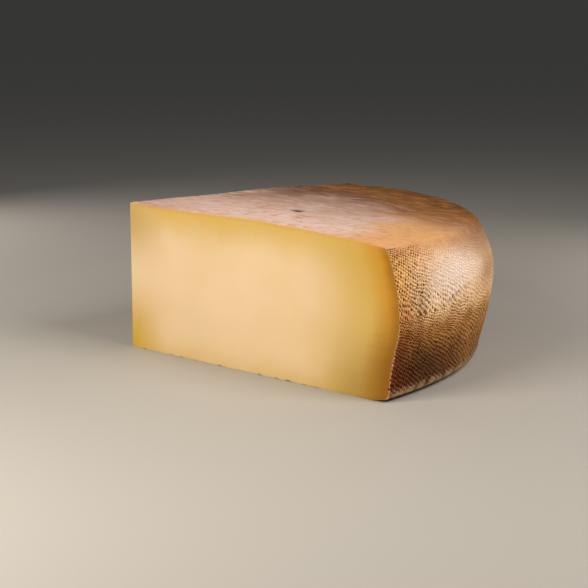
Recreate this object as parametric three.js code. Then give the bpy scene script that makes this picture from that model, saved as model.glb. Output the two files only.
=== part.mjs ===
// A quarter of a semi-hard cheese wheel, as a cheesemonger cuts it: two flat cuts meet in an upright
// edge on the wheel's axis, and the rind closes the top, the bulging heel and the underside.
// Millimetres, +Z up. The heel looks along +X, and the group's origin is the middle of the base.
import * as THREE from "three";

const wheelRadius = 185; // at the heel's widest line
const wheelHeight = 75; // on the wheel's axis
const wedgeAngle = 90; // degrees between the two cuts
const slump = 40; // degrees of heel, from the first cut, over which the rind changes shape

// The wheel has slumped out of round: its section at the first cut is narrower and has a crisper
// shoulder than the rest of the heel.
const firstCut = {
  outOfRound: 10, // how far the widest line stands in from the wheel's radius
  widestHeight: 38,
  flankRise: 20, // upright run of the heel above its widest line
  flankDrop: 10, // and below it
  rimInset: 5.5, // how far the lower rim stands in from the widest line
  rimLean: 0.2, // how far the heel leans out over its upright run at the rim
  rimRise: 14, // that run
  topFall: 5, // how far the top sinks from the axis to the shoulder
  domePower: 4, // how long the top stays level before it sinks
  shoulderWidth: 8, // from the widest line in to where the top begins
  shoulderReach: 0.5, // how far the top runs on before the shoulder turns down
  footWidth: 14, // where the underside turns up towards the rim
  footLift: 1.9, // height of the rim above the board
};
const heel = {
  outOfRound: 0,
  widestHeight: 44,
  flankRise: 10,
  flankDrop: 17,
  rimInset: 7,
  rimLean: 0.9,
  rimRise: 10,
  topFall: 5.1,
  domePower: 1.7,
  shoulderWidth: 12,
  shoulderReach: 6,
  footWidth: 14,
  footLift: 3.5,
};

const azimuthSteps = 36;
const steps = { base: 4, foot: 4, flank: 10, shoulder: 12, top: 9 };

// The section at a share of the way round, 0 on the first cut and 1 on the second.
function sectionAt(share) {
  const blend = THREE.MathUtils.smoothstep(share * wedgeAngle, 0, slump);
  const mixed = Object.keys(heel).map((name) => [
    name,
    THREE.MathUtils.lerp(firstCut[name], heel[name], blend),
  ]);
  return Object.fromEntries(mixed);
}

// The section's outline as (radius, height) points, from the axis out along the base, up the heel
// and back over the top to the axis.
function outlineOf(s) {
  const at = (r, z) => new THREE.Vector2(r, z);
  const widest = wheelRadius - s.outOfRound;
  const rim = widest - s.rimInset;
  const footStart = rim - s.footWidth;
  const topEdge = widest - s.shoulderWidth;
  const topHeight = (r) => wheelHeight - s.topFall * (r / topEdge) ** s.domePower;
  const topSlope = (s.domePower * s.topFall) / topEdge;

  const foot = new THREE.QuadraticBezierCurve(
    at(footStart, 0),
    at(rim - s.footWidth / 2, 0),
    at(rim, s.footLift),
  );
  const flank = new THREE.CubicBezierCurve(
    at(rim, s.footLift),
    at(rim + s.rimLean, s.footLift + s.rimRise),
    at(widest, s.widestHeight - s.flankDrop),
    at(widest, s.widestHeight),
  );
  const shoulder = new THREE.CubicBezierCurve(
    at(widest, s.widestHeight),
    at(widest, s.widestHeight + s.flankRise),
    at(topEdge + s.shoulderReach, topHeight(topEdge) - topSlope * s.shoulderReach),
    at(topEdge, topHeight(topEdge)),
  );
  const top = Array.from({ length: steps.top + 1 }, (_, i) => {
    const r = topEdge * (1 - i / steps.top);
    return at(r, topHeight(r));
  });
  const base = new THREE.LineCurve(at(0, 0), at(footStart, 0));
  return [
    ...base.getPoints(steps.base).slice(0, -1),
    ...foot.getPoints(steps.foot).slice(0, -1),
    ...flank.getPoints(steps.flank).slice(0, -1),
    ...shoulder.getPoints(steps.shoulder).slice(0, -1),
    ...top,
  ];
}

// One closed skin: the outline swept from cut to cut, with its two ends filled. Both ends of every
// outline lie on the axis, so all outlines share those two vertices.
function cheeseGeometry() {
  const outlines = Array.from({ length: azimuthSteps + 1 }, (_, i) =>
    outlineOf(sectionAt(i / azimuthSteps)),
  );
  const last = outlines[0].length - 1;
  const tips = [0, 0, 0, 0, 0, wheelHeight];
  const [bottomTip, topTip, firstOnOutline] = [0, 1, 2];
  const positions = [...tips];
  outlines.forEach((outline, i) => {
    const azimuth = THREE.MathUtils.degToRad((i / azimuthSteps - 0.5) * wedgeAngle);
    outline.slice(1, last).forEach(({ x: r, y: z }) => {
      positions.push(r * Math.cos(azimuth), r * Math.sin(azimuth), z);
    });
  });
  const vertex = (i, j) => {
    if (j === 0) return bottomTip;
    if (j === last) return topTip;
    return firstOnOutline + i * (last - 1) + (j - 1);
  };

  const faces = [];
  for (let i = 0; i < azimuthSteps; i++) {
    for (let j = 0; j < last; j++) {
      const [a, b, c, d] = [vertex(i, j), vertex(i + 1, j), vertex(i + 1, j + 1), vertex(i, j + 1)];
      if (a !== b) faces.push(a, b, d);
      if (c !== d) faces.push(b, c, d);
    }
  }
  for (const [i, facesOut] of [[0, true], [azimuthSteps, false]]) {
    for (const [a, b, c] of THREE.ShapeUtils.triangulateShape(outlines[i], [])) {
      const cut = [vertex(i, a), vertex(i, b), vertex(i, c)];
      faces.push(...(facesOut ? cut : cut.reverse()));
    }
  }

  const geometry = new THREE.BufferGeometry();
  geometry.setAttribute("position", new THREE.Float32BufferAttribute(positions, 3));
  geometry.setIndex(faces);
  return geometry;
}

const geometry = cheeseGeometry();
geometry.computeVertexNormals();
geometry.computeBoundingBox();

const cheese = new THREE.Mesh(
  geometry,
  new THREE.MeshStandardMaterial({ color: 0xe3bf84, roughness: 0.55, metalness: 0 }),
);
cheese.name = "cheese_quarter";
const middle = geometry.boundingBox.getCenter(new THREE.Vector3());
cheese.position.set(-middle.x, -middle.y, 0);

const part = new THREE.Group();
part.add(cheese);

export default part;
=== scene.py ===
# A quarter of a semi-hard, cloth-pressed cheese wheel: pale cut paste, a bloomed top rind and a
# bulging heel that still carries the weave of the cloth it was pressed in.
from functools import partial
from math import comb

import bpy
import numpy as np
from mathutils import Euler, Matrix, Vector


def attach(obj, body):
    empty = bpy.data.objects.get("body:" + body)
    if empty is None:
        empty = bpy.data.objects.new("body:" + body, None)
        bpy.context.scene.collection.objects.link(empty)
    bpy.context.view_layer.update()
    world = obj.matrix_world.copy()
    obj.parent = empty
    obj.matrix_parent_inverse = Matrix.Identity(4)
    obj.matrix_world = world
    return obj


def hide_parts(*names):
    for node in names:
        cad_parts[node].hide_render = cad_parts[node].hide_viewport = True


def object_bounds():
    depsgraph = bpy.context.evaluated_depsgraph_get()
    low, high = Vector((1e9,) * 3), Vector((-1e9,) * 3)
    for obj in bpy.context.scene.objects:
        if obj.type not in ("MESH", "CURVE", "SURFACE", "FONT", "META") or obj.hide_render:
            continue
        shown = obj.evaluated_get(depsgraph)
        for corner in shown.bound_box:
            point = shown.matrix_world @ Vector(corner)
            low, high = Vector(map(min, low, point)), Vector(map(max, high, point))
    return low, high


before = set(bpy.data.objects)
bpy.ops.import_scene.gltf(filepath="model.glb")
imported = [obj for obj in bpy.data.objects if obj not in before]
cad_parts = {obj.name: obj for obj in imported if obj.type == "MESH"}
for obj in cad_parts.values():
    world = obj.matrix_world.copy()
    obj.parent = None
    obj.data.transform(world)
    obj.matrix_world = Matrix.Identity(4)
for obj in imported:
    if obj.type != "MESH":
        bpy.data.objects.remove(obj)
cadLow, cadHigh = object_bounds()
mm = 0.001


# Ease from 0 at low to 1 at high: 3t^2 - 2t^3, with t the share of the way.
def smoothStep(x, low, high):
    t = np.clip((x - low) / (high - low), 0, 1)
    return t * t * (3 - 2 * t)


# 1 along the middle of a line of steps, and eased to 0 over a run at each of its two ends.
def betweenEnds(step, last, run):
    return smoothStep(step, 0, run) * smoothStep(step, last, last - run)


# A soft spot: e to the minus half the squared distance, in widths, from its centre.
def spot(x, y, centre, widths):
    return np.exp(-0.5 * (((x - centre[0]) / widths[0]) ** 2 + ((y - centre[1]) / widths[1]) ** 2))


# A soft ridge: e to the minus squared distance, in widths, from its line.
def ridge(distance, width):
    return np.exp(-((distance / width) ** 2))


# Every random ripple by name: its strength in mm (or in the unit that its user says), the mm between
# crests, their heading and its spread in degrees, a seed, and how many waves are added up.
rippleKinds = {
    "topSwell": (0.35, 70, 60, 40, 11, 28),
    "topWrinkle": (0.16, 9, -45, 28, 12, 40),
    "topPatches": (1, 45, 30, 60, 13, 28),
    "rowWave": (1.5, 30, 0, 30, 21, 28),  # grid steps, as the next three
    "rowFray": (0.6, 9, 60, 50, 26, 28),
    "columnWave": (1.5, 26, 70, 30, 22, 28),
    "columnFray": (0.5, 9, 20, 50, 27, 28),
    "wear": (1, 34, 10, 50, 23, 28),
    "heelSwell": (0.45, 38, 5, 35, 24, 28),
    "firstCutWave": (0.12, 40, 12, 14, 31, 28),
    "secondCutWave": (0.12, 40, 12, 14, 32, 28),
    "washLine": (2.5, 26, 20, 60, 42, 28),
    "washRuns": (4, 12, 80, 25, 43, 28),
    "lipWear": (1, 9, 0, 60, 44, 28),
    "topStray": (10, 60, 0, 90, 45, 28),
    "topFleck": (5, 12, -45, 25, 46, 28),
}


# Random relief, about plus or minus its strength: a sum of sine waves that run near one heading.
def ripples(x, y, name):
    strength, wavelength, heading, spread, seed, waves = rippleKinds[name]
    rng = np.random.default_rng(seed)
    turn = np.radians(heading + 90 + rng.normal(0, spread, waves))
    beat = 2 * np.pi / wavelength * rng.uniform(0.6, 1.7, waves)
    phase = rng.uniform(0, 2 * np.pi, waves)
    across = x[..., None] * np.cos(turn) + y[..., None] * np.sin(turn)
    return np.sin(beat * across + phase).sum(-1) / np.sqrt(waves * 1.5) * strength


# A Bezier curve: each control point weighted by its Bernstein polynomial in t.
def bezier(controls, t):
    n = len(controls) - 1
    return sum(comb(n, k) * t**k * (1 - t) ** (n - k) * c for k, c in enumerate(controls))


# An sRGB hex colour as Blender's linear red, green, blue and alpha.
def linear(colour):
    srgb = np.array([int(colour[k : k + 2], 16) for k in (1, 3, 5)]) / 255
    rgb = np.where(srgb <= 0.04045, srgb / 12.92, ((srgb + 0.055) / 1.055) ** 2.4)
    return (*(float(c) for c in rgb), 1.0)


# One colour for every point of a block.
def evenTone(points, colour):
    return np.ones((*points.shape, 3)) * np.array(linear(colour)[:3])


# Paint laid over a skin: the old colour and the new one mixed by a share for each point, times the
# most of it that ever shows.
def glaze(tone, share, colour, most=1.0):
    share = most * np.asarray(share)[..., None]
    return tone * (1 - share) + np.array(linear(colour)[:3]) * share


# Colours named at a few values, read off between them in a straight line.
def shadesAlong(value, shades):
    stops = [stop for stop, _ in shades]
    colours = np.array([linear(colour)[:3] for _, colour in shades])
    return np.stack([np.interp(value, stops, colours[:, k]) for k in range(3)], -1)


# The wheel in mm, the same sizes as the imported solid. It has slumped out of round, so its section
# at the first cut is narrower and has a crisper shoulder than the rest of the heel.
wheel = {
    "radius": 185,
    "height": 75,
    "wedgeAngle": 90,  # degrees between the two cuts
    "slump": 40,  # degrees of heel over which the rind changes shape
}
firstCut = {
    "outOfRound": 10,  # how far the widest line stands in from the wheel's radius
    "widestHeight": 38,
    "flankRise": 20,  # upright run of the heel above its widest line
    "flankDrop": 10,  # and below it
    "rimInset": 5.5,  # how far the lower rim stands in from the widest line
    "rimLean": 0.2,  # how far the heel leans out over its upright run at the rim
    "rimRise": 14,  # that run
    "topFall": 5,  # how far the top sinks from the axis to the shoulder
    "domePower": 4,  # how long the top stays level before it sinks
    "shoulderWidth": 8,  # from the widest line in to where the top begins
    "shoulderReach": 0.5,  # how far the top runs on before the shoulder turns down
    "footWidth": 14,  # where the underside turns up towards the rim
    "footLift": 1.9,  # height of the rim above the board
}
heel = {
    "outOfRound": 0,
    "widestHeight": 44,
    "flankRise": 10,
    "flankDrop": 17,
    "rimInset": 7,
    "rimLean": 0.9,
    "rimRise": 10,
    "topFall": 5.1,
    "domePower": 1.7,
    "shoulderWidth": 12,
    "shoulderReach": 6,
    "footWidth": 14,
    "footLift": 3.5,
}

# How finely the skin is drawn. The heel's grid is close enough to hold the cloth's pits.
skin = {
    "heelColumns": 396,  # round the heel
    "flankRows": 56,  # rim to widest line
    "shoulderRows": 46,  # widest line to the top's edge
    "footRows": 10,  # the turned-up part of the underside
    "topRows": 96,  # shoulder to tip, and rim to tip underneath
    "coarser": 4,  # heel columns to each column of the top and underside
    "cutCoarser": 2,  # heel rows to each row of a cut
}

# What turning, ripening and cutting did to the skin, in mm.
relief = {
    "lip": 0.5,  # how far the rim is rounded back
    "lipRise": 0.35,  # and up, for each mm that it is rounded back
    "lipSpan": 2.6,
    "crumb": 0.7,  # deepest nick in the cuts' lower edges
    "topCrumb": 0.3,  # how deep their upper ones are, as a share of that
    "crumbRarity": 6,  # the higher, the fewer deep ones
    "crumbSeed": 33,
    "steadyHeel": 0.05,  # share of a cut beside the heel that the knife left flat
    "steadyTip": 0.03,  # beside the tip
    "steadyEdge": 0.08,  # and beside the top and the underside
}


# The section at each share of the way round, as one dictionary of arrays.
def sectionAt(share):
    blend = smoothStep(share * wheel["wedgeAngle"], 0, wheel["slump"])
    return {name: firstCut[name] + (heel[name] - firstCut[name]) * blend for name in heel}


# The widest line's radius: the wheel's less how far it is out of round.
def widestOf(s):
    return wheel["radius"] - s["outOfRound"]


# The radius where the top begins: the widest line's less the shoulder's width.
def topEdgeOf(s):
    return widestOf(s) - s["shoulderWidth"]


# Height of the top at a radius: the wheel's height less a fall that grows with the radius's power.
def topHeight(s, r):
    return wheel["height"] - s["topFall"] * (r / topEdgeOf(s)) ** s["domePower"]


# Up the heel: a cubic from the rim to the widest line, t along it. Gives radius and height.
def flankCurve(s, t):
    rim = widestOf(s) - s["rimInset"]
    r = bezier([rim, rim + s["rimLean"], widestOf(s), widestOf(s)], t)
    lift = s["footLift"]
    high = s["widestHeight"]
    return r, bezier([lift, lift + s["rimRise"], high - s["flankDrop"], high], t)


# Over the shoulder: a cubic from the widest line to the top's edge.
def shoulderCurve(s, t):
    edge = topEdgeOf(s)
    reach = s["shoulderReach"]
    r = bezier([widestOf(s), widestOf(s), edge + reach, edge], t)
    low = s["widestHeight"]
    high = topHeight(s, edge)
    slope = s["domePower"] * s["topFall"] / edge
    return r, bezier([low, low + s["flankRise"], high - slope * reach, high], t)


# Under the rim: a quadratic from the flat base up to the rim.
def footCurve(s, t):
    rim = widestOf(s) - s["rimInset"]
    r = bezier([rim - s["footWidth"], rim - s["footWidth"] / 2, rim], t)
    return r, bezier([0, 0, s["footLift"]], t)


# Shares that space points evenly along a curve: a fine sampling's running length, turned about.
def evenShares(curve, steps, samples=400):
    fine = np.linspace(0, 1, samples)
    r, z = curve(fine)
    length = np.concatenate([[0], np.cumsum(np.hypot(np.diff(r), np.diff(z)))])
    return np.interp(np.linspace(0, length[-1], steps + 1), length, fine)


middleSection = sectionAt(0.5)
flankShares = evenShares(lambda t: flankCurve(middleSection, t), skin["flankRows"])
shoulderShares = evenShares(lambda t: shoulderCurve(middleSection, t), skin["shoulderRows"])
heelRows = skin["flankRows"] + skin["shoulderRows"]


# The heel at a share of the way round and a row, whole or in between: flank first, then shoulder.
def heelPoint(share, row):
    s = sectionAt(share)
    onFlank = np.interp(row, np.arange(skin["flankRows"] + 1), flankShares)
    onShoulder = np.interp(row - skin["flankRows"], np.arange(skin["shoulderRows"] + 1), shoulderShares)
    flankR, flankZ = flankCurve(s, onFlank)
    shoulderR, shoulderZ = shoulderCurve(s, onShoulder)
    low = row <= skin["flankRows"]
    return np.where(low, flankR, shoulderR), np.where(low, flankZ, shoulderZ)


# How far the rim is pulled in, by the distance along the skin from it: a share squared.
def lipPull(distance):
    return relief["lip"] * (1 - np.clip(distance / relief["lipSpan"], 0, 1)) ** 2


# The direction of a share of the way round, in radians from straight out of the heel's middle.
def azimuthOf(share):
    return np.radians((share - 0.5) * wheel["wedgeAngle"])


# How far a point stands from the first cut, measured square to that cut's line through the tip.
def fromFirstCut(x, y):
    turn = azimuthOf(0.0)
    return y * np.cos(turn) - x * np.sin(turn)


# The top's paint: a rosy bloom with painted light towards the first cut, peach towards the first
# cut's corner, browned and painted darker as shade on the far side, with painted shade at the far
# edge, and amber over the shoulder. Every paint is a colour and the most of it that ever shows.
# Places and spans are in mm from the tip; a span runs from where a zone starts to where it is full.
topLook = {
    "bloom": "#c8a492",
    # painted light: the bloom lighter towards the first cut, nearest the light
    "frontPaintedLight": ("#e6c6b6", 0.75),
    "frontPaintedLightSpans": {"fromCut": (62, 14), "x": (5, 45)},
    # partly browner rind, partly painted shade on the far side, away from the light
    "brownedAndShaded": ("#664432", 1.0),
    "brownedAndShadedSpan": (46, 128),  # from the first cut
    "peach": ("#dba160", 0.85),
    "peachSpans": {"r": (116, 150), "fromCut": (104, 40)},
    "amber": ("#87551f", 0.9),
    "amberSpans": {"r": (118, 156), "fromCut": (42, 98)},
    # painted shade at the top's far edge, where the light does not reach
    "farEdgeShade": ("#4a2c16", 0.6),
    "farEdgeShadeSpans": {"r": (146, 172), "fromCut": (92, 128)},
    "strayed": {"brownedAndShaded": 0.8, "peach": 1.0, "amber": 0.7},  # how ragged each zone's edge is
    "bloomLost": {"brownedAndShaded": 0.8, "peach": 0.85, "amber": 0.85},
    "wrinkledPatches": (-0.4, 0.8),  # from smooth to fully wrinkled
    "scar": "#a25f48",
    "scars": (  # place, widths, share
        ((58, 41), (2.4, 2.6), 0.7),
        ((115, 91), (3, 4), 0.5),
        ((121, -37), (3.5, 2.5), 0.4),
    ),
}
nick = {
    # painted shade: the nick is painted dark, as the shade in its hollow
    "colour": "#2f170a",
    "spot": ((84.6, -24.7), (1.9, 2.8)),  # place and widths
    "depth": 1.1,
    "spill": 1.6,  # how far its colour spreads past its hollow
}


# Where the top is browned and shaded, peach and amber, each a share for every point. The browned and
# shaded zone, partly browner rind and partly painted shade, goes by the distance from the first cut;
# peach and amber by the distances from the tip and from that cut, multiplied. The leading distance is
# made ragged.
def topZones(x, y):
    r = np.hypot(x, y)
    fromCut = fromFirstCut(x, y)
    stray = ripples(x, y, "topStray")
    fleck = ripples(x, y, "topFleck")
    ragged = {name: share * stray + fleck for name, share in topLook["strayed"].items()}
    brownedAndShaded = smoothStep(fromCut + ragged["brownedAndShaded"], *topLook["brownedAndShadedSpan"])
    spans = topLook["peachSpans"]
    peach = smoothStep(r + ragged["peach"], *spans["r"]) * smoothStep(fromCut, *spans["fromCut"])
    spans = topLook["amberSpans"]
    amber = smoothStep(r + ragged["amber"], *spans["r"]) * smoothStep(fromCut, *spans["fromCut"])
    return {"brownedAndShaded": brownedAndShaded, "peach": peach, "amber": amber}


# The nick's dark colour, painted shade that is full in its hollow and gone a little way outside it.
def nickShare(x, y):
    return np.minimum(nick["spill"] * spot(x, y, *nick["spot"]), 1)


# How much of the bloom is left in each place: every zone takes its own share of it away.
def bloomShare(x, y):
    left = 1 - nickShare(x, y)
    for name, share in topZones(x, y).items():
        left = left * (1 - topLook["bloomLost"][name] * share)
    return left


# The top's colour: the bloom, with painted light towards the first cut, then each zone's paint over it,
# the far edge's painted shade, the scars and the nick, painted dark as the shade in its hollow.
def topTone(x, y):
    fromCut = fromFirstCut(x, y)
    tone = evenTone(x, topLook["bloom"])
    spans = topLook["frontPaintedLightSpans"]
    frontLit = smoothStep(fromCut, *spans["fromCut"]) * smoothStep(x, *spans["x"])
    tone = glaze(tone, frontLit, *topLook["frontPaintedLight"])
    for name, share in topZones(x, y).items():
        tone = glaze(tone, share, *topLook[name])
    spans = topLook["farEdgeShadeSpans"]
    farEdgeShade = smoothStep(np.hypot(x, y), *spans["r"]) * smoothStep(fromCut, *spans["fromCut"])
    tone = glaze(tone, farEdgeShade, *topLook["farEdgeShade"])
    for centre, widths, most in topLook["scars"]:
        tone = glaze(tone, spot(x, y, centre, widths), topLook["scar"], most)
    return glaze(tone, nickShare(x, y), nick["colour"])


# The top's relief: long swells, wrinkles that mostly run across the wedge, and the nick's hollow.
def topRelief(x, y):
    wrinkled = smoothStep(ripples(x, y, "topPatches"), *topLook["wrinkledPatches"])
    wrinkles = ripples(x, y, "topWrinkle") * wrinkled
    return ripples(x, y, "topSwell") + wrinkles - nick["depth"] * spot(x, y, *nick["spot"])


# The skin as it is stored, block by block. Each point carries marks for the materials: how strong the
# cloth's print is and its pit's own depth, how far it is heel and not top, the wax and its painted
# highlight, bloom, and how many mm of cheese there are to the heel, the top and the underside.
points = []
faces = []
sides = []  # 0 rind, 1 first cut, 2 second cut
markNames = ("imprint", "depth", "heelness", "wax", "bloom", "fromHeel", "fromTop", "fromBase")
marks = {name: [] for name in markNames}
threads = []
tones = []


# Stores a block of points, with its marks, and gives back their numbers in the block's shape.
def storePoints(x, y, z, **given):
    start = sum(len(block) for block in points)
    points.append(np.stack([x, y, z], -1).reshape(-1, 3))
    for name, blocks in marks.items():
        blocks.append(np.broadcast_to(given.get(name, 0.0), x.shape).reshape(-1))
    threads.append(np.stack([*given.get("threads", (x * 0, x * 0)), x * 0], -1).reshape(-1, 3))
    tones.append(given.get("tone", np.ones((*x.shape, 3))).reshape(-1, 3))
    return np.arange(start, start + x.size).reshape(x.shape)


# Stores a block of triangles and the side of the wedge that they lie on.
def storeFaces(cells, side, turned):
    faces.append(cells[:, ::-1] if turned else cells)
    sides.append(np.full(len(cells), side))


# Two triangles to each cell of a block of point numbers.
def cover(numbers, side=0, turned=False):
    a, b, c, d = numbers[:-1, :-1], numbers[1:, :-1], numbers[1:, 1:], numbers[:-1, 1:]
    halves = [np.stack(corners, -1).reshape(-1, 3) for corners in ((a, b, c), (a, c, d))]
    storeFaces(np.concatenate(halves), side, turned)


# Joins a fine row to a coarse one: each coarse step fans out to its fine points from either end.
def stitch(fine, coarse, side=0, turned=False):
    steps = (len(fine) - 1) // (len(coarse) - 1)
    m = np.arange(len(coarse) - 1)[:, None]
    i = np.arange(steps)[None, :]
    ends = np.where(i < steps // 2, coarse[m], coarse[m + 1])
    fans = np.stack([fine[m * steps + i], fine[m * steps + i + 1], ends], -1).reshape(-1, 3)
    middles = np.stack([coarse[:-1], fine[steps // 2 :: steps], coarse[1:]], -1)
    storeFaces(np.concatenate([fans, middles]), side, turned)


# The heel's paint: nearly cream at its widest, deepening to dark brown at the foot: partly the
# rind's own browning, partly painted light and shade, lit where the heel faces up and shaded where it
# turns down. All in mm: above the board unless said, or round from the first cut. A span runs from
# where a paint starts to where it is full.
heelLook = {
    # colour by height: lighter above and darker below, partly painted light and shade
    "byHeight": (
        (0, "#58340f"),
        (8, "#643c10"),
        (16, "#7b4f1a"),
        (25, "#ab7a38"),
        (31, "#ba8a4a"),
        (37, "#eec28a"),
        (43, "#f0ca9f"),
        (60, "#ecbe8e"),
        (75, "#dea76f"),
    ),
    # redder beside the cut, and darker towards the foot as painted shade
    "besideCut": (
        (6, "#7a3d12"),
        (22, "#783c0c"),
        (34, "#a06524"),
        (44, "#d89b50"),
        (56, "#f6b868"),
        (70, "#f2b166"),
    ),
    "besideMost": 0.85,
    "besideSpan": (27, 4),  # round
    "runStretch": 0.3,  # the washes' runs are drawn out upwards: the lower, the longer
    "zones": (  # colour, the most of it that shows, span round and span of height
        ("#b38653", 0.85, (62, 88), (34, 50)),  # tan further round
        ("#b27a3e", 0.95, (38, 60), (52, 63)),  # the shoulder
        ("#8f6133", 0.95, (68, 94), (55, 66)),  # the shoulder further round
        ("#a67a3a", 0.5, (40, 76), (34, 22)),  # the foot further round, where the stain is thin
    ),
    # painted shade low on the heel beside the first cut, where it turns down from the light
    "shade": ("#3c2408", 0.55),
    "shadeSpot": ((26, 13), (16, 8)),  # place and widths, round and above the board
    # the waxed patch: glossier, and painted pale as a highlight
    "wax": ("#f3ddcc", 0.9),
    "waxSpot": ((50, 49), (17, 8)),  # round, and up the skin from the rim
    "waxFoot": (38, 43),  # up the skin
    "lip": ("#ad8f6a", 0.85),
    "lipSpan": (3.8, 1.2),  # up the skin
    "lipPatches": (-1.6, 0.4),  # of the lip's wear, from none of its paint to all
    "lipWorn": 0.5,  # how much of the lip's paint is gone further round
    "lipWornSpan": (50, 85),  # round
    # painted highlight: a pale line along the heel's edge at the first cut
    "cutEdgeHighlight": "#e9c284",
    "cutEdgeHighlightMost": (0.2, 0.75),  # how much of it shows, high up and low down
    "cutEdgeHighlightSpan": (0.9, 0.1),  # round
    "cutEdgeHighlightLow": (42, 22),
    "cutEdgeHighlightHigh": (72, 62),
    # painted shade in the slit where the top's rind lifts, and a painted highlight on its upper lip
    "slit": ("#2c1406", 0.9),
    "slitEdgeHighlight": 0.6,  # how much of the cut line's colour shows on its upper lip
}


# The heel's colour: the colour for its height, lighter above and darker below partly as painted
# light and shade, a redder one beside the cut, then the zones' paints, a painted shade low beside
# the cut, the wax with its painted highlight, the rubbed lip and a painted highlight along the
# cut's edge.
def heelTone(along, up, z, wax):
    tone = shadesAlong(z + ripples(along, up, "washLine"), heelLook["byHeight"])
    runs = ripples(along, up * heelLook["runStretch"], "washRuns")
    beside = heelLook["besideMost"] * smoothStep(along + runs, *heelLook["besideSpan"])[..., None]
    tone = tone * (1 - beside) + shadesAlong(z, heelLook["besideCut"]) * beside
    for colour, most, roundSpan, heightSpan in heelLook["zones"]:
        tone = glaze(tone, smoothStep(along, *roundSpan) * smoothStep(z, *heightSpan), colour, most)
    tone = glaze(tone, spot(along, z, *heelLook["shadeSpot"]), *heelLook["shade"])
    # painted highlight over the waxed patch
    tone = glaze(tone, wax, *heelLook["wax"])
    rubbedLip = smoothStep(ripples(along, up, "lipWear"), *heelLook["lipPatches"])
    rubbedLip = rubbedLip * (1 - heelLook["lipWorn"] * smoothStep(along, *heelLook["lipWornSpan"]))
    tone = glaze(tone, smoothStep(up, *heelLook["lipSpan"]) * rubbedLip, *heelLook["lip"])
    high, low = heelLook["cutEdgeHighlightMost"]
    most = high + (low - high) * smoothStep(z, *heelLook["cutEdgeHighlightLow"])
    # painted highlight along the cut's edge
    line = smoothStep(along, *heelLook["cutEdgeHighlightSpan"]) * smoothStep(z, *heelLook["cutEdgeHighlightHigh"])
    return glaze(tone, line * most, heelLook["cutEdgeHighlight"])


# The cloth that the wheel was pressed in, and what rubbed its print away again. Spans are in mm, round
# the heel from the first cut or up the skin from the rim.
cloth = {
    "threadPitch": 1.6,
    "pitDepth": 0.42,
    "ownDepth": (0.2, 1.6),  # each pit's own depth, as a share of that
    "pitSeed": 25,
    "weftShare": 0.54,  # share of the print that the threads round the heel make
    "steadyRows": 33,  # grid rows beside the rim and the top over which the threads come to rest
    "steadyColumns": 25,
    "climbs": ((2.5, 12, 50), (5, 45, 95), (-7.5, 150, 270)),  # rows that they climb over a span
    "rubbed": 0.72,  # how much of the print is gone from the smooth band above the widest line
    "rubbedRound": (18, 52),
    "rubbedSlant": 0.6,  # the band starts further round the lower it is, by so much for each mm
    "rubbedMiddle": 40,
    "rubbedUp": (33, 47),
    "rubbedWave": (3, 9),  # how far its lower edge wanders, and in how many mm
    "regained": (0.6, 105, 135),  # how much of the band's print comes back, over a span
    "worn": 0.3,  # how much is gone in worn patches
    "wornPatches": (-0.9, 0.5),
    "faint": (0.35, (45, 90), (150, 110)),  # how much is gone where the heel turns away, and back
    "crispRound": (0.4, 28, 12),  # how much deeper the print is, over a span
    "crispUp": (0.35, 34, 26),
    "rimSpan": (0.6, 2.4),  # where it starts above the rim
    "topRows": 8,  # grid rows below the top over which it fades
    "bareRows": 20,  # and over which the heel's finish turns to the top's
}

# Marks of ripening on the heel, in mm.
heelMarks = {
    "creaseUp": 41.5,  # the crease at the widest line
    "creaseWave": (0.9, 7),  # how far it wanders, and in how many mm
    "creaseHeight": 0.35,
    "creaseWidth": 0.9,
    "creaseSpans": ((22, 34), (68, 56)),  # round the heel, where it starts and where it ends
    "hollowBelow": 1.9,  # from the crease down to the hollow under it
    "hollowWidth": 1.1,
    "slitBelow": 2.3,  # the slit where the top's rind lifts, from the top's edge down
    "slitSlope": 0.12,
    "slitWidth": 0.6,
    "slitDepth": 0.7,
    "slitSpan": (8, 3.5),
    "slitEdgeRows": 2,  # grid rows from the slit to its upper lip
}

# The heel. The cloth's threads run askew to the grid, two columns along for each row down, so a pit
# falls on every fifth grid point; the grid itself wanders to make the threads wave.
gridStep = cloth["threadPitch"] / np.sqrt(5)
heelUp = gridStep * heelRows
column, row = np.meshgrid(np.arange(skin["heelColumns"] + 1.0), np.arange(heelRows + 1.0))
along = column * gridStep
up = row * gridStep
clear = betweenEnds(row, heelRows, cloth["steadyRows"])
clearEnds = betweenEnds(column, skin["heelColumns"], cloth["steadyColumns"])
climb = sum(rows * smoothStep(along, start, end) for rows, start, end in cloth["climbs"])
rowDrift = climb + ripples(along, up, "rowWave") + ripples(along, up, "rowFray")
columnDrift = ripples(along, up, "columnWave") + ripples(along, up, "columnFray")
share = (column + columnDrift * clearEnds) / skin["heelColumns"]
heelR, heelZ = heelPoint(share, row + rowDrift * clear)
azimuth = azimuthOf(share)
stepR = np.gradient(heelR, axis=0)
stepZ = np.gradient(heelZ, axis=0)
stepLength = np.hypot(stepR, stepZ)
outR, outZ = stepZ / stepLength, -stepR / stepLength

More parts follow.
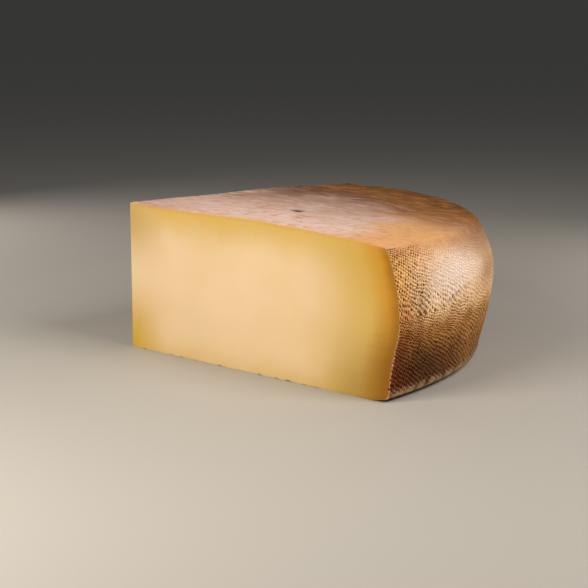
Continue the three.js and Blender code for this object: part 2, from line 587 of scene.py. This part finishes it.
# The cloth's pits: one random depth to each, shallower where the skin was rubbed smooth.
threadU = (2 * column - row) / 5
threadV = (column + 2 * row) / 5
pitU = np.round(threadU).astype(int)
pitV = np.round(threadV).astype(int)
pitRng = np.random.default_rng(cloth["pitSeed"])
depths = pitRng.uniform(*cloth["ownDepth"], (np.ptp(pitU) + 1, np.ptp(pitV) + 1))
depth = depths[pitU - pitU.min(), pitV - pitV.min()]
onTop = smoothStep(row, heelRows - cloth["topRows"], heelRows)
worn = smoothStep(ripples(along, up, "wear"), *cloth["wornPatches"])
rubbedWave, rubbedLength = cloth["rubbedWave"]
slanted = along + cloth["rubbedSlant"] * (up - cloth["rubbedMiddle"])
rubbed = smoothStep(slanted, *cloth["rubbedRound"])
rubbed = rubbed * smoothStep(up + rubbedWave * np.sin(along / rubbedLength), *cloth["rubbedUp"])
regained, *regainedSpan = cloth["regained"]
rubbed = rubbed * (1 - regained * smoothStep(along, *regainedSpan))
faintest, faintStart, faintEnd = cloth["faint"]
faint = faintest * smoothStep(along, *faintStart) * smoothStep(along, *faintEnd)
crisp = 1.0
for place, (gain, *span) in ((along, cloth["crispRound"]), (up, cloth["crispUp"])):
    crisp = crisp * (1 + gain * smoothStep(place, *span))
imprint = crisp * (1 - cloth["worn"] * worn) * (1 - cloth["rubbed"] * rubbed) * (1 - faint)
imprint = imprint * (1 - onTop) * smoothStep(up, *cloth["rimSpan"])
weft = np.cos(2 * np.pi * threadV)
warp = np.cos(2 * np.pi * threadU)
pits = cloth["weftShare"] * weft + (1 - cloth["weftShare"]) * warp
pressed = -np.where(pits > 0, pits * depth, pits) * imprint * cloth["pitDepth"]

# A crease at the widest line, the slit where the top's rind lifts, and slow swells.
creaseWave, creaseLength = heelMarks["creaseWave"]
fromCrease = up - heelMarks["creaseUp"] - creaseWave * np.sin(along / creaseLength)
creased = ridge(fromCrease, heelMarks["creaseWidth"])
creased = creased - ridge(fromCrease + heelMarks["hollowBelow"], heelMarks["hollowWidth"])
for span in heelMarks["creaseSpans"]:
    creased = creased * smoothStep(along, *span)
fromSlit = up - heelUp + heelMarks["slitBelow"] + heelMarks["slitSlope"] * along
slit = ridge(fromSlit, heelMarks["slitWidth"]) * smoothStep(along, *heelMarks["slitSpan"])
swells = ripples(along, up, "heelSwell") * clear
outward = pressed + swells + creased * heelMarks["creaseHeight"] - slit * heelMarks["slitDepth"]
pull = lipPull(up)
heelR = heelR + outR * outward - pull
heelZ = heelZ + outZ * outward + pull * relief["lipRise"]
heelX = heelR * np.cos(azimuth)
heelY = heelR * np.sin(azimuth)
heelZ = heelZ + topRelief(heelX, heelY) * onTop
heelness = 1 - smoothStep(row, heelRows - cloth["bareRows"], heelRows)
# the waxed patch, which the rind makes glossier and the heel's colour paints pale as a highlight
wax = spot(along, up, *heelLook["waxSpot"]) * smoothStep(up, *heelLook["waxFoot"])
tone = heelTone(along, up, heelZ, wax)
tone = tone * heelness[..., None] + topTone(heelX, heelY) * (1 - heelness[..., None])
# the slit painted dark as its shade, and its upper lip painted pale as a highlight
tone = glaze(tone, slit, *heelLook["slit"])
slitLipHighlight = np.roll(slit, heelMarks["slitEdgeRows"], axis=0)
tone = glaze(tone, slitLipHighlight, heelLook["cutEdgeHighlight"], heelLook["slitEdgeHighlight"])
heelNumbers = storePoints(
    heelX,
    heelY,
    heelZ,
    imprint=imprint,
    depth=depth,
    heelness=heelness,
    wax=wax,
    bloom=bloomShare(heelX, heelY),
    threads=(threadU, threadV),
    tone=tone,
    fromTop=heelZ[-1:] - heelZ,
    fromBase=heelZ,
)
cover(heelNumbers, turned=True)
print("heel pressed:", heelNumbers.size, "points")

# The top, from the shoulder in to the tip. The knife left its edges a little ragged.
inner = np.arange(1, skin["topRows"] + 1)[:, None] / skin["topRows"]
coarseShare = np.linspace(0, 1, skin["heelColumns"] // skin["coarser"] + 1)[None, :]
coarseSection = sectionAt(coarseShare)
topR = topEdgeOf(coarseSection) * (1 - inner)
topX = topR * np.cos(azimuthOf(coarseShare))
topY = topR * np.sin(azimuthOf(coarseShare))
crumbRng = np.random.default_rng(relief["crumbSeed"])
crumbs = crumbRng.uniform(0, 1, (2, *topX.shape)) ** relief["crumbRarity"] * relief["crumb"]
crumbs = crumbs * ((coarseShare == 0) | (coarseShare == 1))
topZ = topHeight(coarseSection, topR) + topRelief(topX, topY) - relief["topCrumb"] * crumbs[0] * (topR > 0)
topNumbers = storePoints(
    topX,
    topY,
    topZ,
    bloom=bloomShare(topX, topY),
    tone=topTone(topX, topY),
    fromHeel=inner * wheel["radius"],
    fromBase=topZ,
)
cover(topNumbers, turned=True)
stitch(heelNumbers[-1], topNumbers[0])
print("top laid:", topNumbers.size, "points")

# The underside, from the rim in to the tip: the foot's curve, then flat. It is tan where it lay on
# the shelf and browner towards the rim.
underLook = {
    "board": "#a88660",
    "rim": "#80603c",
    "rimSpan": (150, 172),  # mm from the tip, over which it turns brown
}
footT = 1 - np.arange(1, skin["footRows"] + 1)[:, None] / skin["footRows"]
footR, footZ = footCurve(coarseSection, footT)
pull = lipPull((1 - footT) * coarseSection["footWidth"])
footR = footR - pull
footZ = footZ + pull * relief["lipRise"]
flat = np.arange(1, skin["topRows"] - skin["footRows"] + 1)[:, None]
flatR = footR[-1:] * (1 - flat / len(flat))
underR = np.concatenate([footR, flatR])
underZ = np.concatenate([footZ, 0 * flatR]) + crumbs[1] * (underR > 0)
underX = underR * np.cos(azimuthOf(coarseShare))
underY = underR * np.sin(azimuthOf(coarseShare))
rimward = smoothStep(underR, *underLook["rimSpan"])
underNumbers = storePoints(
    underX,
    underY,
    underZ,
    tone=glaze(evenTone(underX, underLook["board"]), rimward, underLook["rim"]),
    fromHeel=footR[:1] - underR,
    fromTop=wheel["height"],
)
cover(underNumbers)
stitch(heelNumbers[0], underNumbers[0], turned=True)
print("underside laid:", underNumbers.size, "points")


# A cut: a patch blended from its four sides (a Coons patch), the heel's outline on the right, the
# tip on the left, the top and the underside. The knife left it very slightly wavy.
def cutPatch(side, end, waves):
    turn = azimuthOf(float(side - 1))
    heelLineR = np.hypot(heelX, heelY)[:: skin["cutCoarser"], end]
    heelLineZ = heelZ[:: skin["cutCoarser"], end]
    heelLine = np.stack([heelLineR, heelLineZ], -1)
    topLine = np.vstack([heelLine[-1:], np.stack([topR[:, end], topZ[:, end]], -1)])
    underLine = np.vstack([heelLine[:1], np.stack([underR[:, end], underZ[:, end]], -1)])
    b = np.linspace(0, 1, len(heelLine))[:, None, None]
    a = np.linspace(0, 1, len(topLine))[None, :, None]
    tipLine = (1 - b[:, 0]) * underLine[-1] + b[:, 0] * topLine[-1]
    patch = (1 - b) * underLine[None] + b * topLine[None]
    patch = patch + (1 - a) * heelLine[:, None] + a * tipLine[:, None]
    patch = patch - (1 - a) * ((1 - b) * heelLine[0] + b * heelLine[-1])
    patch = patch - a * ((1 - b) * tipLine[0] + b * tipLine[-1])
    r = patch[:, 1:, 0]
    z = patch[:, 1:, 1]
    inner = a[:, 1:, 0]
    inside = smoothStep(inner, 0, relief["steadyHeel"]) * smoothStep(inner, 1, 1 - relief["steadyTip"])
    wave = ripples(r, z, waves) * inside * betweenEnds(b[..., 0], 1, relief["steadyEdge"])
    numbers = storePoints(
        r * np.cos(turn) + wave * np.sin(turn),
        r * np.sin(turn) - wave * np.cos(turn),
        z,
        fromHeel=np.interp(z, heelLineZ, heelLineR) - r,
        fromTop=topLine[1:, 1][None] - z,
        fromBase=z,
    )
    cover(numbers, side, turned=side == 2)
    stitch(heelNumbers[:, end], numbers[:, 0], side, turned=side == 2)
    return numbers.size


print("first cut:", cutPatch(1, 0, "firstCutWave"), "points")
print("second cut:", cutPatch(2, -1, "secondCutWave"), "points")


# Where the tip's foot stands in the frame: the first cut's widest line is the box's lowest Y.
tipPlace = (cadLow[0], cadLow[1] + widestOf(firstCut) * np.sin(-azimuthOf(0.0)) * mm, 0.0)


# Joins points that lie together, drops triangles that lost a corner, and fills a mesh.
def weldedMesh(name):
    everything = np.concatenate(points)
    _, first, number = np.unique(np.round(everything, 4), axis=0, return_index=True, return_inverse=True)
    corners = number.reshape(-1)[np.concatenate(faces)]
    whole = (corners != np.roll(corners, 1, axis=1)).all(1)
    corners = corners[whole]
    side = np.concatenate(sides)[whole]
    places = everything[first] * mm + np.array(tipPlace)
    mesh = bpy.data.meshes.new(name)
    mesh.vertices.add(len(places))
    mesh.vertices.foreach_set("co", places.reshape(-1))
    mesh.loops.add(corners.size)
    mesh.loops.foreach_set("vertex_index", corners.reshape(-1))
    mesh.polygons.add(len(corners))
    mesh.polygons.foreach_set("loop_start", np.arange(0, corners.size, 3))
    mesh.update(calc_edges=True)
    mesh.polygons.foreach_set("material_index", np.minimum(side, 1))
    for mark, blocks in marks.items():
        layer = mesh.attributes.new(mark, "FLOAT", "POINT")
        layer.data.foreach_set("value", np.concatenate(blocks)[first].astype(np.float32))
    layer = mesh.attributes.new("threads", "FLOAT_VECTOR", "POINT")
    layer.data.foreach_set("vector", np.concatenate(threads)[first].astype(np.float32).reshape(-1))
    painted = np.pad(np.concatenate(tones)[first], ((0, 0), (0, 1)), constant_values=1)
    layer = mesh.attributes.new("tone", "FLOAT_COLOR", "POINT")
    layer.data.foreach_set("color", painted.astype(np.float32).reshape(-1))
    # The skin is smooth, and sharp only where one side meets another.
    loopEdges = np.zeros(corners.size, np.int32)
    mesh.loops.foreach_get("edge_index", loopEdges)
    lowest = np.full(len(mesh.edges), side.max() + 1)
    highest = np.full(len(mesh.edges), side.min() - 1)
    np.minimum.at(lowest, loopEdges, np.repeat(side, 3))
    np.maximum.at(highest, loopEdges, np.repeat(side, 3))
    layer = mesh.attributes.new("sharp_edge", "BOOLEAN", "EDGE")
    layer.data.foreach_set("value", lowest != highest)
    mesh.validate()
    return mesh


cheese = bpy.data.objects.new("cheese", weldedMesh("cheese"))
bpy.context.scene.collection.objects.link(cheese)
print("cheese welded:", len(cheese.data.vertices), "points,", len(cheese.data.polygons), "triangles")


# Adds a node: settings go on the node, and each input gets a value or another node's output. Gives
# back its first output, or the one named.
def addNode(tree, kind, inputs=None, out=0, **settings):
    node = tree.nodes.new("ShaderNode" + kind)
    for name, value in settings.items():
        setattr(node, name, value)
    for name, value in (inputs or {}).items():
        if isinstance(value, bpy.types.NodeSocket):
            tree.links.new(value, node.inputs[name])
        else:
            node.inputs[name].default_value = value
    return node.outputs[out]


# A new material, with its tree and its shader, whose own sockets get the values that are the same
# all over the surface.
def newMaterial(name, sockets):
    material = bpy.data.materials.new(name)
    material.use_nodes = True
    shader = material.node_tree.nodes["Principled BSDF"]
    for socket, value in sockets.items():
        shader.inputs[socket].default_value = value
    return material, material.node_tree, shader


# Paint over a colour, coat by coat: a coat is a way of blending, a colour and some shares, which
# multiplied together say how much of it shows.
def paintOver(tree, colour, coats):
    for blend, over, *shares in coats:
        amount = shares[0]
        for share in shares[1:]:
            amount = addNode(tree, "Math", {0: amount, 1: share}, operation="MULTIPLY")
        inputs = {"Factor": amount, 6: colour, 7: linear(over)}
        colour = addNode(tree, "Mix", inputs, out=2, data_type="RGBA", blend_type=blend)
    return colour


# Cut semi-hard paste, sliced with a wire and a little moist: smooth, satin, slightly see-through,
# so its edges glow. It is creamiest in the middle and dries to amber beside the rind; low beside the
# heel it is painted darker as shade.
pasteLook = {
    "cream": "#e8cca4",
    "butter": "#d3b05e",
    "amber": "#c88d1c",
    # the amber band's lower end: browner, and also painted darker as shade
    "lowBandBrownAndShade": "#83590f",
    # painted shade in the lower corner beside the heel
    "lowCornerShade": "#a1813c",
    "highStraw": "#c8a246",
    "crust": "#8e5704",
    "tipFoot": "#cfa836",
    "tipTop": "#c4a468",
    "underRind": "#cf9450",
    # painted highlight: a thin pale line on the paste along the heel's edge
    "heelLine": "#e6cf9e",
    "edge": {  # mm from each side to the full cream
        "fromHeel": (14, 66),
        "fromTop": (0, 21),
        "fromBase": (-14, 13),
    },
    "patch": 42,  # mm across the slow clouds in the paste
    "patchStray": 3.0,  # mm that they push its zones about
    "curd": 7,
    "curdStray": 1.5,
    "curdDepth": 0.25,
    "roughness": (0.38, 0.52),
    "dragPitch": 1.6,  # mm between the wire's drag lines
    "dragStretch": 0.04,  # their fineness along the cut, where up it is 1
    "dragDepth": 0.08,
    "sockets": {
        "IOR": 1.45,
        "Specular IOR Level": 0.28,
        "Subsurface Weight": 0.35,
        "Subsurface Radius": (1.0, 0.62, 0.28),
        "Subsurface Scale": 3 * mm,
    },
}


def cutPaste():
    material, tree, shader = newMaterial("cutPaste", pasteLook["sockets"])
    add = partial(addNode, tree)
    place = add("TexCoord", out="Object")
    cloud = add("TexNoise", {"Vector": place, "Scale": 1 / (pasteLook["patch"] * mm), "Detail": 2.0})
    curd = add("TexNoise", {"Vector": place, "Scale": 1 / (pasteLook["curd"] * mm), "Detail": 4.0})
    far = pasteLook["patchStray"]
    inputs = {"Value": cloud, "From Min": 0.3, "From Max": 0.7, "To Min": -far, "To Max": far}
    wander = add("MapRange", inputs)
    near = pasteLook["curdStray"]
    ripple = add("MapRange", {"Value": curd, "To Min": -near, "To Max": near})
    stray = add("Math", {0: wander, 1: ripple}, operation="ADD")
    gap = {}
    eased = {}
    for name, (near, far) in pasteLook["edge"].items():
        gap[name] = add("Attribute", out="Fac", attribute_name=name)
        inner = add("Math", {0: gap[name], 1: stray}, operation="ADD")
        inputs = {"Value": inner, "From Min": near, "From Max": far}
        eased[name] = add("MapRange", inputs, interpolation_type="SMOOTHSTEP")
    strayed = add("Math", {0: gap["fromHeel"], 1: ripple}, operation="ADD")
    spans = {  # each a share that grows from the first value to the second, nearly all in mm from a side
        "band": (strayed, 19, 3),
        "crust": (strayed, 7, 0.5),
        "broad": (gap["fromHeel"], 48, 8),
        "tip": (gap["fromHeel"], 138, 172),
        "low": (gap["fromBase"], 50, 14),
        "foot": (gap["fromBase"], 40, 2),
        "high": (gap["fromTop"], 38, 6),
        "layer": (gap["fromTop"], 2.4, 0.4),
        # the painted highlight along the heel's edge
        "line": (gap["fromHeel"], 0.6, 0.2),
        "faint": (cloud, 0.38, 0.62),
    }
    share = {}
    for name, (value, near, far) in spans.items():
        inputs = {"Value": value, "From Min": near, "From Max": far}
        share[name] = add("MapRange", inputs, interpolation_type="SMOOTHSTEP")
    faded = add("MapRange", {"Value": share["faint"], "To Min": 0.88, "To Max": 1.0})
    core = (eased["fromHeel"], eased["fromTop"], eased["fromBase"])
    # Over the butter yellow: the cream middle, the tip, straw and amber towards the rind, painted shade
    # low beside the heel, and the thin lines beside it, the last a painted highlight along the heel's
    # edge. A bare number is the most of a coat that shows.
    coats = [
        ("MIX", pasteLook["cream"], faded, *core),
        ("MIX", pasteLook["tipFoot"], share["tip"], share["foot"]),
        ("MIX", pasteLook["tipTop"], 0.8, share["tip"], share["high"]),
        ("MIX", pasteLook["highStraw"], 0.6, share["broad"], share["high"]),
        ("MIX", pasteLook["lowCornerShade"], 0.8, share["broad"], share["foot"]),
        ("MIX", pasteLook["amber"], 0.9, share["band"]),
        ("MIX", pasteLook["lowBandBrownAndShade"], 0.75, share["band"], share["low"]),
        ("MIX", pasteLook["crust"], 0.65, share["crust"]),
        ("MIX", pasteLook["underRind"], 0.35, share["layer"]),
        ("MIX", pasteLook["heelLine"], 0.25, share["line"]),
    ]
    colour = paintOver(tree, linear(pasteLook["butter"]), coats)
    tree.links.new(colour, shader.inputs["Base Color"])
    smooth, rough = pasteLook["roughness"]
    polish = add("MapRange", {"Value": curd, "To Min": smooth, "To Max": rough})
    tree.links.new(polish, shader.inputs["Roughness"])
    # The wire's drag runs level, so its pattern is long along the cut and short upwards.
    upwards = 1 / (pasteLook["dragPitch"] * mm)
    stretch = (pasteLook["dragStretch"] * upwards, pasteLook["dragStretch"] * upwards, upwards)
    drawn = add("VectorMath", {0: place, 1: stretch}, operation="MULTIPLY")
    drag = add("TexNoise", {"Vector": drawn, "Scale": 1.0, "Detail": 3.0})
    inputs = {"Height": drag, "Strength": 0.25, "Distance": pasteLook["dragDepth"] * mm}
    dragBump = add("Bump", inputs)
    inputs = {"Height": curd, "Strength": 0.3, "Distance": pasteLook["curdDepth"] * mm, "Normal": dragBump}
    bump = add("Bump", inputs)
    tree.links.new(bump, shader.inputs["Normal"])
    return material


# Washed, brushed rind with a dry bloom: matt and chalky on top, tan and leathery on the heel,
# where the cloth's pits hold the darker smear and the crests between them are paler, partly rubbed
# and partly a painted highlight.
rindLook = {
    "chalk": "#e6d2ca",
    "rose": "#bf8f7e",
    "flush": "#c2854f",
    "speck": "#80523a",
    "gold": "#d39a55",
    "russet": "#8a4a22",
    # paler crests: partly rubbed, partly a painted highlight
    "smear": "#8a5024",
    "crestHighlight": "#ac8878",
    "streak": 3.6,  # mm across the top's brushed streaks
    "streakTurn": 48,  # degrees from the wedge's middle line, nearly along the first cut
    "streakStretch": 0.3,  # their fineness along a streak, where across it is 1
    "streakDepth": 0.7,
    "cloud": 19,
    "mottle": 4.5,
    "grain": 0.8,
    "grainDepth": 0.16,
    "tear": 0.95,  # how far, in pitches, the threads stray from their line
    "roughness": {"top": 0.78, "heel": 0.5, "waxed": -0.14},  # the last is added to the heel's
    "specular": (0.18, 0.5),  # bare and waxed
    "sockets": {
        "IOR": 1.45,
        "Subsurface Weight": 0.06,
        "Subsurface Radius": (1.0, 0.5, 0.25),
        "Subsurface Scale": 1.5 * mm,
    },
}


def washedRind():
    material, tree, shader = newMaterial("washedRind", rindLook["sockets"])
    add = partial(addNode, tree)
    place = add("TexCoord", out="Object")
    turned = add("Mapping", {"Vector": place, "Rotation": (0, 0, np.radians(rindLook["streakTurn"]))})
    drawnOut = (rindLook["streakStretch"], 1, 1)
    stretched = add("VectorMath", {0: turned, 1: drawnOut}, operation="MULTIPLY")
    streaks = add("TexNoise", {"Vector": stretched, "Scale": 1 / (rindLook["streak"] * mm), "Detail": 6.0})
    clouds = add("TexNoise", {"Vector": place, "Scale": 1 / (rindLook["cloud"] * mm), "Detail": 5.0})
    mottle = add("TexNoise", {"Vector": place, "Scale": 1 / (rindLook["mottle"] * mm), "Detail": 5.0})
    grain = add("TexNoise", {"Vector": place, "Scale": 1 / (rindLook["grain"] * mm), "Detail": 3.0})
    heelness = add("Attribute", out="Fac", attribute_name="heelness")
    imprint = add("Attribute", out="Fac", attribute_name="imprint")
    depth = add("Attribute", out="Fac", attribute_name="depth")
    wax = add("Attribute", out="Fac", attribute_name="wax")
    bloom = add("Attribute", out="Fac", attribute_name="bloom")
    tone = add("Attribute", out="Color", attribute_name="tone")

    # The cloth again, finer than the mesh can hold: the same pits, their threads straying a little.
    thread = add("Attribute", out="Vector", attribute_name="threads")
    tear = add("TexNoise", {"Vector": thread, "Scale": 1.1, "Detail": 3.0}, out="Color")
    centred = add("VectorMath", {0: tear, 1: (0.5, 0.5, 0.5)}, operation="SUBTRACT")
    inputs = {0: centred, 1: (rindLook["tear"],) * 3, 2: thread}
    strayed = add("VectorMath", inputs, operation="MULTIPLY_ADD")
    around = add("VectorMath", {0: strayed, 1: (2 * np.pi, 2 * np.pi, 0)}, operation="MULTIPLY")
    waves = add("VectorMath", {0: around}, operation="COSINE")
    shares = (1 - cloth["weftShare"], cloth["weftShare"], 0)
    pit = add("VectorMath", {0: waves, 1: shares}, out="Value", operation="DOT_PRODUCT")
    fray = add("TexNoise", {"Vector": thread, "Scale": 0.5, "Detail": 3.0, "Roughness": 0.7})

    spans = {  # each a share that grows from the first value to the second
        "dark": (pit, 0.0, 0.5),
        "crestHighlight": (pit, -0.05, -0.5),
        "frayed": (fray, 0.3, 0.62),
        "chalky": (streaks, 0.42, 0.7),
        "rosy": (mottle, 0.45, 0.7),
        "flushed": (clouds, 0.5, 0.68),
        "specked": (grain, 0.6, 0.74),
        "patchy": (clouds, 0.36, 0.56),
    }
    share = {}
    for name, (value, near, far) in spans.items():
        inputs = {"Value": value, "From Min": near, "From Max": far}
        share[name] = add("MapRange", inputs, interpolation_type="SMOOTHSTEP")
    onTop = add("Math", {0: 1.0, 1: heelness}, operation="SUBTRACT")
    bloomed = add("MapRange", {"Value": bloom, "To Min": 0.0, "To Max": 1.0})
    faded = add("MapRange", {"Value": bloom, "To Min": 1.0, "To Max": 0.0})
    uneven = add("MapRange", {"Value": share["frayed"], "To Min": 0.45, "To Max": 1.25})
    woven = add("Math", {0: imprint, 1: uneven}, operation="MULTIPLY")
    coats = [
        ("MIX", rindLook["chalk"], 0.65, onTop, bloomed, share["chalky"], share["patchy"]),
        ("MIX", rindLook["rose"], 0.5, onTop, bloomed, share["rosy"]),
        ("MIX", rindLook["gold"], 0.35, onTop, faded, share["chalky"]),
        ("MIX", rindLook["russet"], 0.22, onTop, faded, share["rosy"]),
        ("MIX", rindLook["flush"], 0.7, onTop, bloomed, share["flushed"], share["rosy"]),
        ("MULTIPLY", rindLook["speck"], 0.3, share["specked"]),
        ("MULTIPLY", rindLook["smear"], 0.95, share["dark"], woven, depth),
        # the crests lightened, partly as a painted highlight
        ("DODGE", rindLook["crestHighlight"], share["crestHighlight"], woven),
    ]
    colour = paintOver(tree, tone, coats)
    tree.links.new(colour, shader.inputs["Base Color"])
    rough = rindLook["roughness"]
    dull = add("MapRange", {"Value": heelness, "To Min": rough["top"], "To Max": rough["heel"]})
    shine = add("Math", {0: wax, 1: rough["waxed"], 2: dull}, operation="MULTIPLY_ADD")
    tree.links.new(shine, shader.inputs["Roughness"])
    bare, waxed = rindLook["specular"]
    sheen = add("MapRange", {"Value": wax, "To Min": bare, "To Max": waxed})
    tree.links.new(sheen, shader.inputs["Specular IOR Level"])
    sunk = add("Math", {0: pit, 1: -1.0}, operation="MULTIPLY")
    weave = add("Math", {0: sunk, 1: woven}, operation="MULTIPLY")
    brushed = add("Math", {0: streaks, 1: onTop}, operation="MULTIPLY")
    bumps = (  # height, strength and depth in mm, each over the one before
        (weave, 1.0, cloth["pitDepth"]),
        (grain, 0.6, rindLook["grainDepth"]),
        (brushed, 0.6, rindLook["streakDepth"]),
    )
    normal = {}
    for height, strength, deep in bumps:
        inputs = {"Height": height, "Strength": strength, "Distance": deep * mm, **normal}
        normal = {"Normal": add("Bump", inputs)}
    tree.links.new(normal["Normal"], shader.inputs["Normal"])
    return material


cheese.data.materials.append(washedRind())
cheese.data.materials.append(cutPaste())
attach(cheese, "root")
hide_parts("cheese_quarter")
print("materials dressed")

# The studio: a pale floor, a soft key on the cut face, a soft light above the heel, a weak one beside
# its shoulder and a fill behind the wedge.
studio = {
    "floor": "#aeaaa2",
    "floorRoughness": 0.7,
    "floorSize": 600.0,  # metres
    "world": "#cfd2d6",
    "worldStrength": 0.12,
    "lights": {
        # name: (place in m, aim in m, size in m, watts, colour)
        "key": ((-0.3, -0.32, 0.27), (-0.05, -0.06, 0.05), 0.25, 2.0, "#fff6ea"),
        "heelLight": ((0.42, -0.38, 0.5), (0.06, -0.07, 0.06), 0.35, 3.85, "#fff8f2"),
        "shoulder": ((0.42, 0.24, 0.12), (0.07, -0.05, 0.05), 0.2, 0.4, "#fff6ee"),
        "backFill": ((-0.38, 0.42, 0.2), (0.0, 0.05, 0.04), 0.25, 0.8, "#fff6ee"),
    },
}


# Turns a light so that it looks along the line from where it hangs to its aim.
def pointAt(thing, aim):
    thing.rotation_euler = (Vector(aim) - thing.location).to_track_quat("-Z", "Y").to_euler()


def layFloor():
    half = studio["floorSize"] / 2
    corners = [(-half, -half, 0), (half, -half, 0), (half, half, 0), (-half, half, 0)]
    mesh = bpy.data.meshes.new("floor")
    mesh.from_pydata(corners, [], [(0, 1, 2, 3)])
    floor = bpy.data.objects.new("floor", mesh)
    bpy.context.scene.collection.objects.link(floor)
    paint = {"Base Color": linear(studio["floor"]), "Roughness": studio["floorRoughness"]}
    mesh.materials.append(newMaterial("paintedFloor", paint)[0])


def hangLights():
    for name, (place, aim, size, watts, colour) in studio["lights"].items():
        lamp = bpy.data.lights.new(name, "AREA")
        lamp.size = size
        lamp.energy = watts
        lamp.color = linear(colour)[:3]
        light = bpy.data.objects.new(name, lamp)
        light.location = place
        pointAt(light, aim)
        light.visible_camera = False
        bpy.context.scene.collection.objects.link(light)
    world = bpy.data.worlds.new("softRoom")
    world.use_nodes = True
    background = world.node_tree.nodes["Background"]
    background.inputs["Color"].default_value = linear(studio["world"])
    background.inputs["Strength"].default_value = studio["worldStrength"]
    bpy.context.scene.world = world


layFloor()
hangLights()
bpy.context.scene.view_settings.view_transform = "Standard"
print("studio lit")

# The camera stands this far from the wedge's tip, in mm, and looks a little down and to the right.
eye = {
    "lens": 91.84,
    "sensor": 36,
    "fromTip": (44.3, -764.1, 177.6),
    "turnRight": 2.96,  # degrees from +Y
    "lookDown": 11.15,
}


def standCamera():
    lens = bpy.data.cameras.new("camera")
    lens.lens = eye["lens"]
    lens.sensor_width = eye["sensor"]
    camera = bpy.data.objects.new("camera", lens)
    camera.location = Vector(tipPlace) + Vector(eye["fromTip"]) * mm
    camera.rotation_euler = Euler((np.radians(90 - eye["lookDown"]), 0, np.radians(-eye["turnRight"])))
    bpy.context.scene.collection.objects.link(camera)
    bpy.context.scene.camera = camera


standCamera()
bpy.context.view_layer.update()
